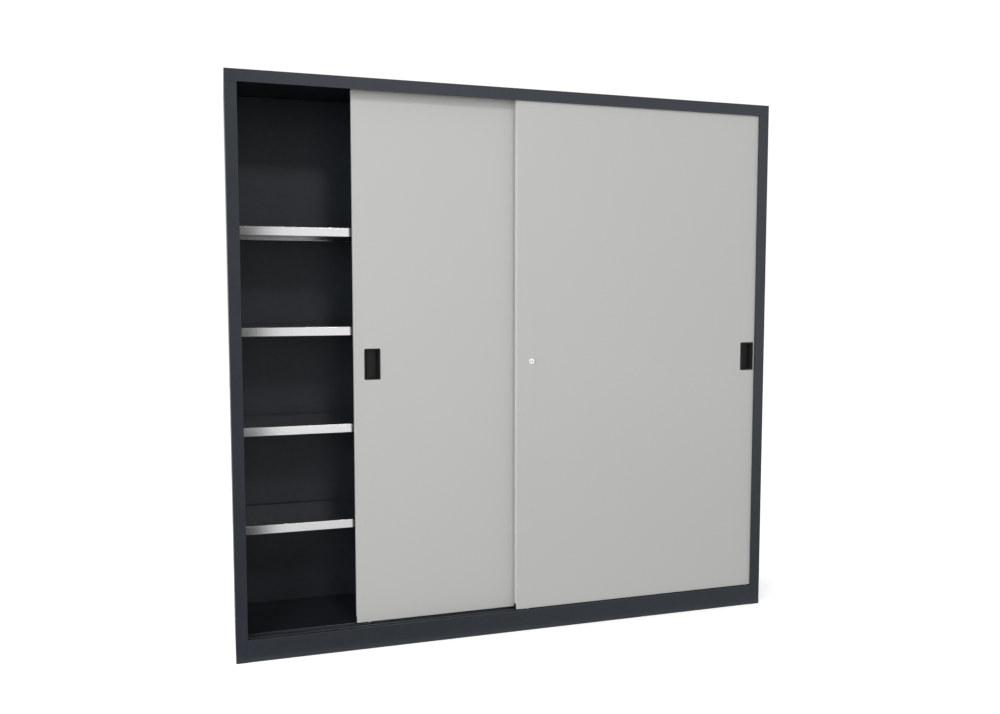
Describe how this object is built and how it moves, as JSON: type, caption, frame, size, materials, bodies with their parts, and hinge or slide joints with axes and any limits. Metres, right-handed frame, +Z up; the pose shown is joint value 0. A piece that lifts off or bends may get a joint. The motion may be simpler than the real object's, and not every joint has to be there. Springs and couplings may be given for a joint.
{
  "type": "sliding door cabinet",
  "caption": "Wide steel storage cabinet with two bypass sliding doors on a ribbed bottom track, recessed pull handles, a push lock and metal shelves either side of a centre partition.",
  "frame": {"origin": "centre of the cabinet's footprint, on the floor", "axes": "+X to the right seen from the front, +Y from the doors to the back, +Z up"},
  "size_m": [2, 0.42, 1.95],
  "materials": {
    "anthracite_paint": "fine satin powder coat",
    "light_grey_paint": "fine satin powder coat",
    "bright_sheet": "bright galvanised sheet",
    "zinc": "zinc plated",
    "chrome": "polished",
    "black_plastic": "fine moulded grain",
    "nylon": "smooth",
    "rubber": "matte"
  },
  "bodies": {
    "carcass": {"side_left": "anthracite_paint", "side_right": "anthracite_paint", "top_panel": "anthracite_paint", "plinth_front": "anthracite_paint", "floor_panel": "anthracite_paint", "bottom_track": "anthracite_paint", "back_panel_left": "anthracite_paint", "back_panel_right": "anthracite_paint", "centre_partition": "anthracite_paint", "top_guide_rail": "zinc", "buffer_left": "rubber", "buffer_right": "rubber", "shelf_left_1": "bright_sheet", "shelf_left_2": "bright_sheet", "shelf_left_3": "bright_sheet", "shelf_left_4": "bright_sheet", "shelf_right_1": "bright_sheet", "shelf_right_2": "bright_sheet", "shelf_right_3": "bright_sheet", "shelf_right_4": "bright_sheet", "shelf_rail_left_outer_1": "zinc", "shelf_rail_left_inner_1": "zinc", "shelf_rail_left_outer_2": "zinc", "shelf_rail_left_inner_2": "zinc", "shelf_rail_left_outer_3": "zinc", "shelf_rail_left_inner_3": "zinc", "shelf_rail_left_outer_4": "zinc", "shelf_rail_left_inner_4": "zinc", "shelf_rail_right_outer_1": "zinc", "shelf_rail_right_inner_1": "zinc", "shelf_rail_right_outer_2": "zinc", "shelf_rail_right_inner_2": "zinc", "shelf_rail_right_outer_3": "zinc", "shelf_rail_right_inner_3": "zinc", "shelf_rail_right_outer_4": "zinc", "shelf_rail_right_inner_4": "zinc"},
    "rear_door": {"rear_door_pan": "light_grey_paint", "rear_door_stiffener": "zinc", "rear_door_handle": "black_plastic", "rear_door_carriage_left": "black_plastic", "rear_door_carriage_right": "black_plastic", "rear_door_top_guide_left": "black_plastic", "rear_door_top_guide_right": "black_plastic", "lock_keeper": "zinc"},
    "front_door": {"front_door_pan": "light_grey_paint", "front_door_stiffener": "zinc", "front_door_handle": "black_plastic", "front_door_carriage_left": "black_plastic", "front_door_carriage_right": "black_plastic", "front_door_top_guide_left": "black_plastic", "front_door_top_guide_right": "black_plastic", "lock_housing": "chrome", "lock_nut": "zinc", "lock_spring": "zinc"},
    "rear_door_roller_left": {"rear_door_roller_left": "nylon"},
    "rear_door_roller_right": {"rear_door_roller_right": "nylon"},
    "front_door_roller_left": {"front_door_roller_left": "nylon"},
    "front_door_roller_right": {"front_door_roller_right": "nylon"},
    "lock_barrel": {"lock_barrel": "chrome"},
    "lock_key_plug": {"lock_key_plug": "zinc"}
  },
  "joints": [
    {"name": "rear_door_slide", "type": "slide", "parent": "carcass", "child": "rear_door", "axis": [1, 0, 0], "range_m": [-0.401, 0.47]},
    {"name": "front_door_slide", "type": "slide", "parent": "carcass", "child": "front_door", "axis": [1, 0, 0], "range_m": [-0.872, 0]},
    {"name": "rear_door_roller_left_spin", "type": "hinge", "parent": "rear_door", "child": "rear_door_roller_left", "pos_m": [-0.545, -0.1505, 0.0863], "axis": [0, 1, 0], "continuous": true},
    {"name": "rear_door_roller_right_spin", "type": "hinge", "parent": "rear_door", "child": "rear_door_roller_right", "pos_m": [0.37, -0.1505, 0.0863], "axis": [0, 1, 0], "continuous": true},
    {"name": "front_door_roller_left_spin", "type": "hinge", "parent": "front_door", "child": "front_door_roller_left", "pos_m": [0.031, -0.188, 0.0863], "axis": [0, 1, 0], "continuous": true},
    {"name": "front_door_roller_right_spin", "type": "hinge", "parent": "front_door", "child": "front_door_roller_right", "pos_m": [0.946, -0.188, 0.0863], "axis": [0, 1, 0], "continuous": true},
    {"name": "lock_push", "type": "slide", "parent": "front_door", "child": "lock_barrel", "axis": [0, 1, 0], "range_m": [0, 0.006], "stiffness_N_per_m": 300, "springref_m": -0.002, "deforming": ["lock_spring"]},
    {"name": "key_plug_turn", "type": "hinge", "parent": "lock_barrel", "child": "lock_key_plug", "pos_m": [0.043, -0.2, 0.989], "axis": [0, 1, 0], "range_deg": [0, 90]}
  ],
  "couplings": [
    {"joint": "rear_door_roller_left_spin", "follows": "rear_door_slide", "rad_per_m": 111.11},
    {"joint": "rear_door_roller_right_spin", "follows": "rear_door_slide", "rad_per_m": 111.11},
    {"joint": "front_door_roller_left_spin", "follows": "front_door_slide", "rad_per_m": 111.11},
    {"joint": "front_door_roller_right_spin", "follows": "front_door_slide", "rad_per_m": 111.11}
  ]
}
